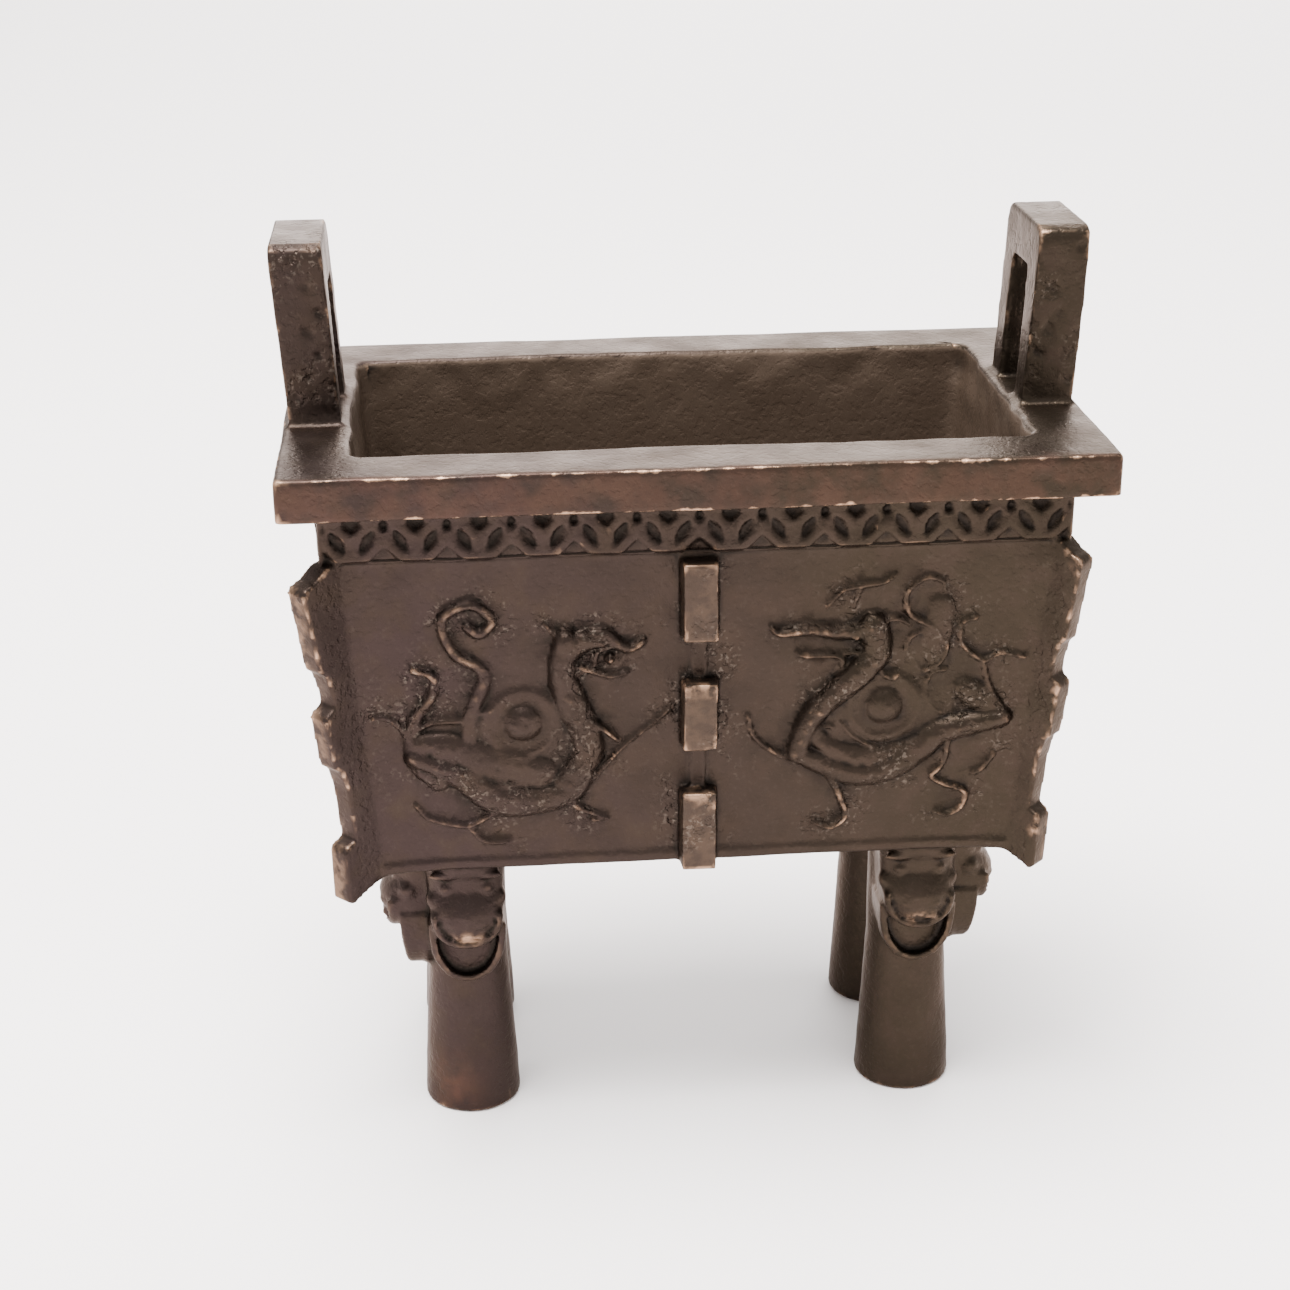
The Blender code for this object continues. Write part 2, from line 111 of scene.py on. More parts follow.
def loft(bm, rings):
    """A closed shell through rings of equally many points in mm, each bridged to the next."""
    loops = []
    for ring in rings:
        corners = [bm.verts.new(Vector(point) * MM) for point in ring]
        loops.append([bm.edges.new(pair) for pair in zip(corners, corners[1:] + corners[:1])])
    for lower, upper in zip(loops, loops[1:]):
        bmesh.ops.bridge_loops(bm, edges=lower + upper)
    bmesh.ops.edgeloop_fill(bm, edges=loops[0])
    bmesh.ops.edgeloop_fill(bm, edges=loops[-1])


# Places along a side, as shares of its half length, closer together by the corners,
# and how far from a corner its flare begins
SIDE_STOPS = (-1, -0.985, -0.965, -0.94, -0.91, -0.87, -0.6, 0.0, 0.6, 0.87, 0.91, 0.94, 0.965, 0.985)
FLARE_LENGTH = 13.0
FLARE_FOOT = 1.4
FLARE_STOP = 118.0
EDGE_ROUND = 1.2


def vessel_ring(half_x, half_y, z, radius=0.0, flare=0.0):
    """A level rectangle; flare sweeps its corners outwards, radius rounds them."""
    ring = []
    for side in range(4):
        long_half, out_half = ((half_x, half_y), (half_y, half_x))[side % 2]
        for stop in SIDE_STOPS:
            along = stop * (long_half + flare)
            rise = smoothstep(long_half - FLARE_LENGTH, long_half + flare, abs(along)) ** 1.5
            out = out_half + flare * float(rise)
            x, y = ((along, -out), (out, along), (-along, out), (-out, -along))[side]
            if radius:
                core = Vector((max(-half_x + radius, min(half_x - radius, x)),
                               max(-half_y + radius, min(half_y - radius, y))))
                away = Vector((x, y)) - core
                x, y = core + away.normalized() * radius
            ring.append((x, y, z))
    return ring


def wall_x(z):
    """Half length of the tapering box at height z."""
    return BASE_X + (PANEL_X - BASE_X) * (z - BODY_FOOT) / (PANEL_TOP - BODY_FOOT)


def wall_y(z):
    """Half depth of the tapering box at height z."""
    return BASE_Y + (PANEL_Y - BASE_Y) * (z - BODY_FOOT) / (PANEL_TOP - BODY_FOOT)


def vessel(bm):
    """The box from its foot up over the rim and down inside to the floor of the bowl."""
    loft(bm, (
        vessel_ring(BASE_X - 0.8, BASE_Y - 0.8, BODY_FOOT, flare=1.5),
        vessel_ring(BASE_X + 0.3, BASE_Y + 0.3, BODY_FOOT + 0.7, flare=1.7),
        vessel_ring(BASE_X + 0.5, BASE_Y + 0.5, BODY_FOOT + 2.2, flare=1.8),
        vessel_ring(BASE_X, BASE_Y, BODY_FOOT + 3.0, flare=FLARE_FOOT),
        vessel_ring(wall_x(FLARE_STOP), wall_y(FLARE_STOP), FLARE_STOP, flare=FLARE_FOOT),
        vessel_ring(PANEL_X, PANEL_Y, PANEL_TOP, flare=0.4),
        vessel_ring(FRIEZE_X, FRIEZE_Y, PANEL_TOP + 0.9, radius=EDGE_ROUND),
        vessel_ring(FRIEZE_X, FRIEZE_Y, RIM_FOOT, radius=EDGE_ROUND),
        vessel_ring(RIM_HALF_X, RIM_HALF_Y, RIM_FOOT, radius=EDGE_ROUND),
        vessel_ring(RIM_HALF_X, RIM_HALF_Y, RIM_TOP - 0.5, radius=EDGE_ROUND),
        vessel_ring(RIM_HALF_X - 0.5, RIM_HALF_Y - 0.5, RIM_TOP, radius=EDGE_ROUND),
        vessel_ring(MOUTH_X + 0.6, MOUTH_Y + 0.6, RIM_TOP, radius=3.4),
        vessel_ring(MOUTH_X, MOUTH_Y, RIM_TOP - 0.8, radius=3.0),
        vessel_ring(BASE_X - 4.2, BASE_Y - 4.2, FLOOR_TOP, radius=4.0),
    ))


# Corner blocks as (top, foot, reach at the top, reach at the foot)
CORNER_BLOCKS = ((120.4, 103.5, 6.6, 5.8), (95.4, 83.8, 6.2, 5.8), (67.8, 56.2, 6.4, 7.0))
CORNER_WEB = 4.2
CORNER_THICK = 4.4
CORNER_SUNK = 0.6
RIGHT_WORN = 0.72


def corner_outline():
    """The edge of a plate as (reach, height): worn blocks with a low web between them."""
    outline = [(-2.0, 126.0), (0.6, 124.5)]
    for top, foot, reach_top, reach_foot in CORNER_BLOCKS:
        outline.append((CORNER_WEB, top + 1.0))
        outline.append((reach_top - 0.7, top + 0.3))
        outline.append((reach_top, top - 0.7))
        outline.append((reach_foot, foot + 0.7))
        outline.append((reach_foot - 0.9, foot - 0.1))
        if foot > BODY_FOOT:
            outline.append((CORNER_WEB + 0.4, foot - 1.8))
            outline.append((CORNER_WEB, foot - 4.5))
    return outline + [(CORNER_WEB, 57.2), (1.4, 58.3), (-2.0, 58.9)]


def corner_plates(bm):
    """Notched plates on the diagonals; those at front right and back left are worn shorter."""
    half = CORNER_THICK / 2 / math.sqrt(2)
    for sign_x in (-1, 1):
        for sign_y in (-1, 1):
            near = []
            far = []
            for reach, z in corner_outline():
                out = reach * RIGHT_WORN if sign_x * sign_y < 0 and reach > 0 else reach
                x = sign_x * (wall_x(z) - CORNER_SUNK + out)
                y = sign_y * (wall_y(z) - CORNER_SUNK + out)
                near.append((x + sign_x * half, y - sign_y * half, z))
                far.append((x - sign_x * half, y + sign_y * half, z))
            loft(bm, (near, far))


# Blocks down the middle of a face as (top, foot); then the size of a block and of its web
FACE_BLOCKS = ((122.2, 106.6), (98.0, 84.2), (75.2, 58.9))
BLOCK_WIDTH = 6.8
BLOCK_REACH = 4.6
WEB_SPAN = (122.0, 61.0)
WEB_WIDTH = 3.0
WEB_REACH = 0.9


def face_blocks(bm):
    """Three upright blocks on each face, with a low web from one to the next."""
    bars = [(top, foot, BLOCK_WIDTH, BLOCK_REACH) for top, foot in FACE_BLOCKS]
    bars.append((*WEB_SPAN, WEB_WIDTH, WEB_REACH))
    for on_side in (False, True):
        for sign in (-1, 1):
            for top, foot, width, reach in bars:
                rings = []
                for z in (foot, top):
                    wall = wall_x(z) if on_side else wall_y(z)
                    half = width / 2
                    square = ((-half - 0.4, wall - 2), (half + 0.4, wall - 2),
                              (half - 0.3, wall + reach), (-half + 0.3, wall + reach))
                    if on_side:
                        rings.append([(sign * out, along, z) for along, out in square])
                    else:
                        rings.append([(along, sign * out, z) for along, out in square])
                loft(bm, rings)


# Radius of a leg at each height
LEG_ROWS = (
    (0.0, LEG_FOOT - 0.5), (0.5, LEG_FOOT), (8.0, 9.35), (20.0, 8.6), (32.0, LEG_NECK), (60.5, LEG_NECK),
)
LEG_STEPS = 48


def legs(bm):
    """Four round legs, wider at the foot."""
    for sign_x in (-1, 1):
        for sign_y in (-1, 1):
            rings = []
            for z, radius in LEG_ROWS:
                ring = []
                for i in range(LEG_STEPS):
                    turn = 2 * math.pi * i / LEG_STEPS
                    ring.append((sign_x * LEG_X + radius * math.cos(turn),
                                 sign_y * LEG_Y + radius * math.sin(turn), z))
                rings.append(ring)
            loft(bm, rings)


MASK_HALF = 7.8
MASK_HIGH = 17.8
FRONT_MASK_OUT = 16.0
END_MASK_OUT = 17.0

# A muzzle from the brow down: share of its height, of its half width and of its reach
MUZZLE_ROWS = (
    (-0.08, 0.96, 0.90), (0.10, 0.98, 0.93), (0.24, 0.96, 0.86), (0.38, 0.94, 0.86), (0.50, 0.93, 0.95),
    (0.62, 0.92, 1.01), (0.74, 0.91, 1.00), (0.84, 0.87, 0.96), (0.93, 0.74, 0.92), (0.99, 0.50, 0.88),
    (1.02, 0.24, 0.85),
)
MUZZLE_STEPS = 6
BAND_STEPS = 16
MUZZLE_SPREAD = math.radians(75)

# Lumps of a mask: across in mm, share of the reach and mm below the belly; then half sizes
PAIRED_LUMPS = (
    ((3.6, 0.79, 6.0), (1.6, 1.1, 1.3)),  # eye
    ((4.2, 0.84, 2.8), (3.0, 1.0, 0.9)),  # brow
    ((6.6, 0.66, 9.0), (1.3, 1.9, 1.8)),  # cheek
    ((2.2, 0.95, 12.6), (1.6, 0.9, 1.1)),  # nostril
)
MIDDLE_LUMPS = (
    ((-1.9, 0.93, 15.2), (0.7, 0.9, 0.9)),  # teeth
    ((-0.4, 0.93, 14.2), (0.7, 0.9, 0.9)),
    ((1.2, 0.93, 15.0), (0.7, 0.9, 0.9)),
    ((2.6, 0.93, 15.4), (0.7, 0.9, 0.9)),
    ((0.0, 0.48, MASK_HIGH + 1.5), (7.4, 2.4, 8.8)),  # floor of the jaw
)


def blob(bm, place, centre, size):
    """A round lump of a mask, sized across, forwards and up."""
    middle = place(*centre)
    forward = (place(0, 1, 0) - place(0, 0, 0)).normalized()
    side = Vector((-forward.y, forward.x, 0))
    made = bmesh.ops.create_icosphere(bm, subdivisions=3, radius=1.0)
    for vert in made["verts"]:
        x, y, z = vert.co
        vert.co = (middle + side * x * size[0] + forward * y * size[1] + Vector((0, 0, z * size[2]))) * MM


def band(bm, place, half, top, foot, thick, reach, bend):
    """A hanging horseshoe, a jaw or a lip, that bends back at its ends and its foot."""
    outline = []
    steps = range(BAND_STEPS + 1)
    for width, low, order in ((half, foot, steps), (half - thick, foot - thick, reversed(steps))):
        for step in order:
            turn = math.pi * step / BAND_STEPS
            outline.append((width * math.cos(turn), top + (low - top) * abs(math.sin(turn)) ** 0.75))
    near = [place(across, 0.2, drop) for across, drop in outline]
    far = []
    for across, drop in outline:
        back = bend * (across / MASK_HALF) ** 2 + 0.2 * ((drop - top) / (foot - top)) ** 2
        far.append(place(across, reach * (1 - back), drop))
    loft(bm, (near, far))


def mask(bm, place):
    """A beast's head: smooth muzzle ending in a curved lip, over a hollow jaw."""
    rings = []
    for share, width, reach in MUZZLE_ROWS:
        half = MASK_HALF * width
        ring = [tuple(place(-half, 0.0, MASK_HIGH * share))]
        for step in range(2 * MUZZLE_STEPS + 1):
            turn = MUZZLE_SPREAD * (step / MUZZLE_STEPS - 1)
            across = half * math.sin(turn) / math.sin(MUZZLE_SPREAD)
            ring.append(tuple(place(across, reach * (0.62 + 0.38 * math.cos(turn)), MASK_HIGH * share)))
        ring.append(tuple(place(half, 0.0, MASK_HIGH * share)))
        rings.append(ring)
    loft(bm, rings)
    # Jaw, then lip
    band(bm, place, half=7.6, top=MASK_HIGH * 0.80, foot=MASK_HIGH + 9.8, thick=1.4, reach=0.86, bend=0.12)
    band(bm, place, half=7.1, top=MASK_HIGH * 0.62, foot=MASK_HIGH + 0.8, thick=1.0, reach=1.12, bend=0.26)
    for sign in (-1, 1):
        for (across, reach, drop), size in PAIRED_LUMPS:
            blob(bm, place, (sign * across, reach, drop), size)
    for centre, size in MIDDLE_LUMPS:
        blob(bm, place, centre, size)


def masks(bm):
    """Two masks on each leg, one to the long side and one to the end."""
    for sign_x in (-1, 1):
        for sign_y in (-1, 1):
            leg = Vector((sign_x * LEG_X, sign_y * LEG_Y, BODY_FOOT))
            for facing, far_out in ((Vector((0, sign_y, 0)), FRONT_MASK_OUT),
                                    (Vector((sign_x, 0, 0)), END_MASK_OUT)):
                side = Vector((-facing.y, facing.x, 0))

                def place(across, out, drop, leg=leg, side=side, facing=facing, far_out=far_out):
                    return leg + side * across + facing * far_out * out - Vector((0, 0, drop))

                mask(bm, place)


HANDLE_HALF = 13.15
HANDLE_GAP = 6.0
HANDLE_BAR = 9.0
HANDLE_THICK = 9.7
HANDLE_LEAN = 2.0


def handles(bm):
    """Square arches that lean out a little, with worn corners."""
    half = HANDLE_HALF
    gap = HANDLE_GAP
    top = HANDLE_TOP - RIM_TOP
    bar = top - HANDLE_BAR
    outline = [
        (-half - 0.2, -2.0), (-half, 3.0), (-half, top - 2.4), (-half + 0.7, top - 0.7),
        (-half + 2.4, top), (half - 2.4, top), (half - 0.7, top - 0.7), (half, top - 2.4), (half, 3.0),
        (half + 0.2, -2.0), (gap, -2.0), (gap + 0.1, bar * 0.4), (gap - 0.1, bar - 1.2), (gap - 1.2, bar),
        (-gap + 1.0, bar + 0.2), (-gap + 0.1, bar - 1.0), (-gap - 0.2, bar * 0.5), (-gap, -2.0),
    ]
    for sign in (-1, 1):
        near = []
        far = []
        for y, height in outline:
            out = HANDLE_OUT - HANDLE_LEAN * (1 - height / top)
            near.append((sign * (out - HANDLE_THICK), y, RIM_TOP + height))
            far.append((sign * out, y, RIM_TOP + height))
        loft(bm, (near, far))


# Relief on the walls

# Lines of each beast in mm along the wall and up: points, then the half widths
# at the start, middle and end, then the height
DRAGON = (
    (((9.0, 22.0), (15.0, 20.5), (22.0, 17.5), (31.0, 15.5)), (3.2, 4.6, 3.6), 1.82),
    (((36.5, 41.0), (39.0, 42.6), (42.5, 42.6)), (2.6, 2.4, 1.4), 2.24),
    (((18.2, 46.2), (20.2, 44.7), (22.3, 46.4), (22.4, 48.2), (18.9, 50.8), (14.3, 49.0), (13.4, 46.1),
      (15.5, 41.0), (19.7, 38.3), (20.9, 36.2), (20.3, 33.7), (18.1, 28.4), (17.7, 23.2)),
     (1.1, 1.1, 1.7), 1.3),
    (((8.0, 38.0), (11.2, 36.6), (11.6, 34.4), (10.5, 31.6), (7.8, 28.0), (7.0, 23.0), (8.2, 18.0),
      (12.0, 14.5)), (0.9, 1.2, 2.0), 1.2),
    (((0.2, 28.6), (2.7, 28.5), (5.6, 25.5), (6.2, 19.6)), (0.43, 0.59, 0.59), 0.9),
    (((7.7, 25.4), (10.9, 27.1), (16.8, 27.5), (22.0, 29.5)), (0.43, 0.54, 0.43), 0.9),
    (((36.0, 43.0), (35.2, 38.0), (35.6, 34.0), (37.2, 29.0), (39.2, 24.0), (39.6, 19.2), (36.0, 13.5)),
     (2.5, 3.25, 3.0), 2.66),
    (((39.7, 19.2), (38.0, 13.4), (34.3, 10.9), (28.5, 10.0), (22.2, 10.9), (16.6, 15.6), (11.5, 18.2),
      (7.7, 20.1)), (2.0, 3.75, 2.25), 2.38),
    (((32.4, 46.1), (33.9, 44.1), (35.6, 41.6)), (0.42, 0.59, 0.68), 1.08),
    (((36.4, 41.8), (39.5, 43.3), (42.9, 44.0), (45.6, 41.8), (48.2, 41.0), (50.2, 42.3)),
     (1.8, 1.5, 0.7), 1.7),
    (((37.3, 35.5), (41.0, 37.6), (41.8, 40.4), (45.0, 41.4)), (0.59, 0.43, 0.42), 1.26),
    (((38.6, 37.4), (41.0, 36.4), (44.5, 35.4), (47.6, 36.2)), (0.68, 0.59, 0.42), 1.44),
    (((38.3, 29.0), (40.8, 26.2), (45.6, 22.0)), (0.54, 0.73, 0.49), 1.8),
    (((35.2, 9.1), (41.7, 15.0), (46.0, 20.2), (51.8, 25.1), (56.5, 29.5)), (0.49, 0.43, 0.42), 1.08),
    (((38.5, 11.6), (37.2, 9.0), (39.5, 7.0), (43.5, 5.3)), (0.59, 0.63, 0.43), 1.26),
    (((35.3, 9.1), (37.4, 8.1), (39.5, 5.3), (42.4, 5.1)), (0.43, 0.54, 0.42), 1.17),
    (((7.3, 9.9), (10.0, 6.8), (16.8, 5.0), (22.1, 7.3), (27.0, 7.0)), (0.42, 0.63, 0.43), 0.99),
    (((17.3, 4.6), (20.1, 1.4), (24.9, 1.0)), (0.49, 0.54, 0.42), 0.99),
    (((12.0, 17.6), (18.0, 13.4), (24.0, 13.6), (32.0, 13.8)), (0.42, 0.42, 0.42), 1.8),
)
PHOENIX = (
    (((12.0, 22.0), (17.0, 17.5), (24.0, 15.8), (31.0, 17.6), (36.0, 21.0)), (2.0, 3.2, 2.0), 1.68),
    (((36.0, 47.0), (35.5, 42.0), (35.0, 37.0)), (2.4, 3.0, 2.2), 0.98),
    (((41.0, 30.0), (44.0, 28.0), (47.0, 26.0)), (2.2, 3.0, 2.0), 1.26),
    (((4.3, 44.0), (6.2, 42.8), (11.7, 43.2), (17.1, 42.5), (22.6, 42.6)), (0.5, 1.2, 2.0), 1.8),
    (((9.3, 38.7), (10.7, 37.9), (16.2, 37.7), (18.0, 36.6), (17.3, 35.1)), (0.42, 0.54, 0.42), 1.26),
    (((18.4, 38.0), (21.0, 38.4), (23.5, 39.4)), (0.42, 0.42, 0.42), 1.17),
    (((23.4, 43.6), (24.2, 39.0), (23.3, 36.7), (17.5, 30.9), (12.1, 25.1), (9.5, 17.9)),
     (3.0, 2.88, 2.25), 2.8),
    (((22.5, 42.4), (24.7, 44.3), (27.9, 44.8), (30.3, 43.5)), (0.68, 0.63, 0.42), 1.44),
    (((14.8, 47.7), (17.4, 50.8), (21.1, 51.8), (24.9, 52.2), (27.2, 53.8)), (0.42, 0.59, 0.42), 0.99),
    (((21.1, 51.6), (20.1, 49.4), (19.7, 47.5)), (0.42, 0.43, 0.42), 0.9),
    (((36.5, 50.2), (35.7, 52.3), (32.5, 52.8), (29.3, 49.7), (30.3, 45.3), (34.5, 42.8), (37.2, 39.1),
      (36.2, 35.8), (33.3, 33.9)), (0.42, 0.59, 0.63), 1.17),
    (((31.9, 41.7), (30.3, 40.6), (29.5, 38.2)), (0.42, 0.43, 0.42), 0.9),
    (((37.4, 34.0), (34.7, 33.5), (33.7, 30.2), (34.7, 26.8), (37.0, 24.9)), (0.42, 0.49, 0.49), 0.99),
    (((42.7, 44.5), (40.0, 43.4), (39.9, 39.6), (44.2, 35.7), (47.5, 37.0), (52.0, 36.2)),
     (0.42, 0.54, 0.42), 0.99),
    (((44.3, 35.5), (45.6, 30.9), (48.1, 25.9), (48.3, 23.8)), (0.49, 0.59, 0.68), 1.08),
    (((9.5, 17.9), (13.5, 15.8), (20.2, 13.0), (26.9, 13.6), (32.4, 17.4), (36.7, 20.9), (42.0, 22.4),
      (48.3, 23.8)), (2.0, 3.25, 2.25), 2.38),
    (((9.5, 17.9), (15.8, 12.6), (18.7, 6.8), (19.4, 3.6), (16.7, 1.3), (13.2, 2.6)),
     (0.78, 0.73, 0.42), 1.35),
    (((0.3, 26.2), (1.7, 21.3), (6.2, 17.5), (10.1, 16.0)), (0.42, 0.54, 0.59), 1.08),
    (((47.6, 16.1), (45.5, 13.1), (43.6, 11.9)), (0.49, 0.73, 0.49), 1.08),
    (((38.5, 19.1), (37.9, 14.5), (35.6, 11.6), (38.0, 9.8)), (0.68, 0.73, 0.54), 1.26),
    (((38.0, 9.8), (42.3, 7.9), (41.7, 4.7), (39.2, 3.1), (36.9, 3.8)), (0.63, 0.63, 0.43), 1.26),
    (((24.4, 36.0), (25.6, 33.6), (27.6, 32.3), (28.2, 34.1)), (0.42, 0.42, 0.42), 0.9),
    (((17.7, 23.8), (21.1, 20.2), (26.8, 18.0), (32.3, 19.9), (35.5, 21.9)), (0.42, 0.43, 0.42), 1.35),
    (((12.5, 22.0), (14.4, 23.2), (16.6, 22.8)), (0.42, 0.42, 0.42), 1.44),
)
SCROLL = (
    (((6, 34), (8, 38), (12, 36), (11, 30), (7, 24), (9, 16), (14, 12)), (0.8, 1.5, 1.6), 1.3),
    (((14, 12), (10, 6), (5, 8), (6, 12)), (1.4, 1.2, 0.8), 1.2),
)
GRID_FOOT = 5.1
DRAGON_START = -60.5
PHOENIX_START = 9.0
SCROLL_START = 6.0
RELIEF_TOP = 63.0

# Round forms of the relief, placed along the wall and up from its foot
SWELLS = ((-32.7, 27.3), (34.9, 28.1))
SWELL_RADIUS = 11.0
SWELL_RISE = 0.55
STUDS = ((-32.7, 31.3), (34.9, 32.0))
STUD_RADIUS = 3.9
STUD_RISE = 2.3
EYES = (((-16.4, 44.1), 1.0), ((29.2, 46.7), 0.9), ((32.4, 44.7), 0.8))
EYE_RISE = 2.2


def line_relief(flat, lines, start):
    """Height in mm over the wall at flat (along, up) points: rounded raised lines."""
    height = np.zeros(len(flat))
    for points, widths, rise in lines:
        path = smooth_path(points, 5) + np.array((start, GRID_FOOT))
        last = len(path) - 1
        low = path.min(axis=0) - 4
        high = path.max(axis=0) + 4
        near = np.where(np.all((flat > low) & (flat < high), axis=1))[0]
        if not len(near):
            continue
        spot = flat[near]
        best = height[near]
        for i in range(last):
            run = path[i + 1] - path[i]
            t = np.clip(((spot - path[i]) @ run) / max(run @ run, 1e-9), 0.0, 1.0)
            away = np.linalg.norm(spot - path[i] - t[:, None] * run, axis=1)
            share = (i + t) / last
            width = np.interp(share, (0.0, 0.5, 1.0), widths)
            ridge = rise * np.clip(1 - (away / width) ** 2, 0, 1) ** 0.6
            best = np.maximum(best, ridge)
        height[near] = best
    return height


def near_lines(flat, lines, start, reach):
    """1 on the lines and 0 beyond reach mm of them."""
    wide = [(points, [width + reach for width in widths], 1.0) for points, widths, _ in lines]
    return line_relief(flat, wide, start)


def round_relief(flat, centre, radius, rise):
    """A stud inside a shallow ring."""
    away = np.linalg.norm(flat - np.array(centre), axis=1)
    stud = rise * np.clip(1 - (away / radius) ** 2, 0, 1) ** 0.6
    ring = 0.5 * np.exp(-((away - radius * 1.65) / 0.9) ** 2)
    return stud, ring


def beasts(flat, along_sign):
    """Both beasts of a long face, with the low swell of their bodies."""
    spot = flat * np.array((along_sign, 1.0))
    height = line_relief(spot, DRAGON, DRAGON_START)
    height = np.maximum(height, line_relief(spot, PHOENIX, PHOENIX_START))
    for centre in SWELLS:
        away = np.linalg.norm((spot - np.array(centre)) / np.array((1.35, 1.0)), axis=1)
        height = np.maximum(height, SWELL_RISE * smoothstep(SWELL_RADIUS, SWELL_RADIUS * 0.7, away))
    for centre in STUDS:
        stud, ring = round_relief(spot, centre, STUD_RADIUS, STUD_RISE)
        height = np.maximum(height, stud) + ring
    for centre, radius in EYES:
        eye, _ = round_relief(spot, centre, radius, EYE_RISE)
        height = np.maximum(height, eye)
    return height


FRIEZE_DEPTH = 0.85
FRONT_UNITS = 12
END_UNITS = 7
FRIEZE_MARGIN = 0.6


def frieze_depth(along, up, units, half_run):
    """Depth of the band of crossed leaves: a diamond, two leaves and a triangle a unit."""
    pitch = 2 * half_run / units
    x = (along + half_run) % pitch - pitch / 2
    depth = np.zeros(len(x))

    def pocket(centre_x, centre_up, half_width, half_height, tilt, power):
        """1 in the middle of one tilted leaf or diamond and 0 beyond its edge."""
        u = (x - centre_x) * math.cos(tilt) - (up - centre_up) * math.sin(tilt)
        v = (x - centre_x) * math.sin(tilt) + (up - centre_up) * math.cos(tilt)
        away = (np.abs(u / half_width) ** power + np.abs(v / half_height) ** power) ** (1 / power)
        return smoothstep(1.12, 0.72, away)

    depth = np.maximum(depth, pocket(0.0, 7.9, 1.9, 1.9, 0.0, 1.15))
    depth = np.maximum(depth, pocket(-2.7, 4.5, 1.05, 2.5, -0.56, 1.5))
    depth = np.maximum(depth, pocket(2.7, 4.5, 1.05, 2.5, 0.56, 1.5))
    edge = pitch / 2 - np.abs(x)
    triangle = np.maximum(np.abs(edge) / 2.7 + (up - 0.9) / 2.6, (0.9 - up) / 0.5)
    depth = np.maximum(depth, smoothstep(1.1, 0.75, triangle))
    depth = np.maximum(depth, smoothstep(1.1, 0.6, np.hypot(edge / 0.9, (up - 7.4) / 1.1)))
    return FRIEZE_DEPTH * depth


def raise_relief(points, moved):
    """Beasts on the long faces and plain scrolls on the ends."""
    x, y, z = points.T
    up = z - BODY_FOOT
    out_x = wall_x(z)
    out_y = wall_y(z)
    on_face = (np.abs(y) > out_y - 1.6) & (np.abs(y) < out_y + 3.4) & (np.abs(x) < out_x - 1.5)
    on_end = (np.abs(x) > out_x - 1.6) & (np.abs(x) < out_x + 3.4) & (np.abs(y) < out_y - 1.5)
    in_panel = (up > 1) & (up < RELIEF_TOP)
    clear_of_blocks = smoothstep(3.6, 5.4, np.abs(x))
    for sign in (-1, 1):
        at = np.where(on_face & (np.sign(y) == sign) & in_panel)[0]
        flat = np.stack((x[at], up[at]), axis=1)
        rise = beasts(flat, -sign) * clear_of_blocks[at]
        rough = soft_noise(points[at], 2.6, 9) + 0.6 * soft_noise(points[at], 1.5, 10)
        rise += 0.15 * rough * smoothstep(0.5, 1.6, rise)
        moved[at, 1] += sign * rise
        at = np.where(on_end & (np.sign(x) == sign) & in_panel)[0]
        flat = np.stack((np.abs(y[at]), up[at]), axis=1)
        moved[at, 0] += sign * line_relief(flat, SCROLL, SCROLL_START)


def sink_frieze(points, moved):
    """The leaf band under the rim, on all four sides."""
    x, y, z = points.T
    up = z - PANEL_TOP
    in_band = (up > 0.3) & (up < 10.2)
    at = np.where(in_band & (np.abs(np.abs(y) - FRIEZE_Y) < 1.2) & (np.abs(x) < FRIEZE_X - 0.8))[0]
    moved[at, 1] -= np.sign(y[at]) * frieze_depth(x[at], up[at], FRONT_UNITS, FRIEZE_X - FRIEZE_MARGIN)
    at = np.where(in_band & (np.abs(np.abs(x) - FRIEZE_X) < 1.2) & (np.abs(y) < FRIEZE_Y - 0.8))[0]
    moved[at, 0] -= np.sign(x[at]) * frieze_depth(y[at], up[at], END_UNITS, FRIEZE_Y - FRIEZE_MARGIN)


def age_casting(points, moved):
    """Dents on the handles, slight unevenness everywhere and a wavy mouth."""
    x, y, z = moved.T
    dents = smoothstep(0.45, 1.0, soft_noise(points, 4.0, 11)) * (z > RIM_TOP + 2)
    y *= 1 - 0.022 * dents
    x += 0.10 * soft_noise(points, 26, 1) + 0.04 * soft_noise(points, 5, 2)
    y += 0.10 * soft_noise(points, 28, 3) + 0.04 * soft_noise(points, 6, 4)
    # The feet and the tops of the handles keep their height
    steady = smoothstep(0.5, 4.0, z) * smoothstep(HANDLE_TOP - 0.5, HANDLE_TOP - 4, z)
    z += (0.10 * soft_noise(points, 24, 5) + 0.04 * soft_noise(points, 7, 6)) * steady
    lip = smoothstep(RIM_TOP - 16, RIM_TOP - 1, z) * (z < RIM_TOP + 0.6)
    lip = lip * (np.abs(x) < MOUTH_X + 2) * (np.abs(y) < MOUTH_Y + 2)
    ripple = 0.25 * soft_noise(points, 9, 7) + 0.3 * soft_noise(points, 19, 8)
    y += np.where(np.abs(y) > MOUTH_Y - 2, np.sign(y) * ripple * lip, 0)
    x += np.where(np.abs(x) > MOUTH_X - 2, np.sign(x) * ripple * lip * 1.6, 0)


def sculpt(points):
    """The points of the skin in mm, moved by the relief, the frieze and age."""
    moved = points.copy()
    raise_relief(points, moved)
    sink_frieze(points, moved)
    age_casting(points, moved)
    return moved


# Mesh helpers

def linked(name, mesh):
    """A new object of this mesh, in the scene."""
    item = bpy.data.objects.new(name, mesh)
    bpy.context.scene.collection.objects.link(item)
    return item


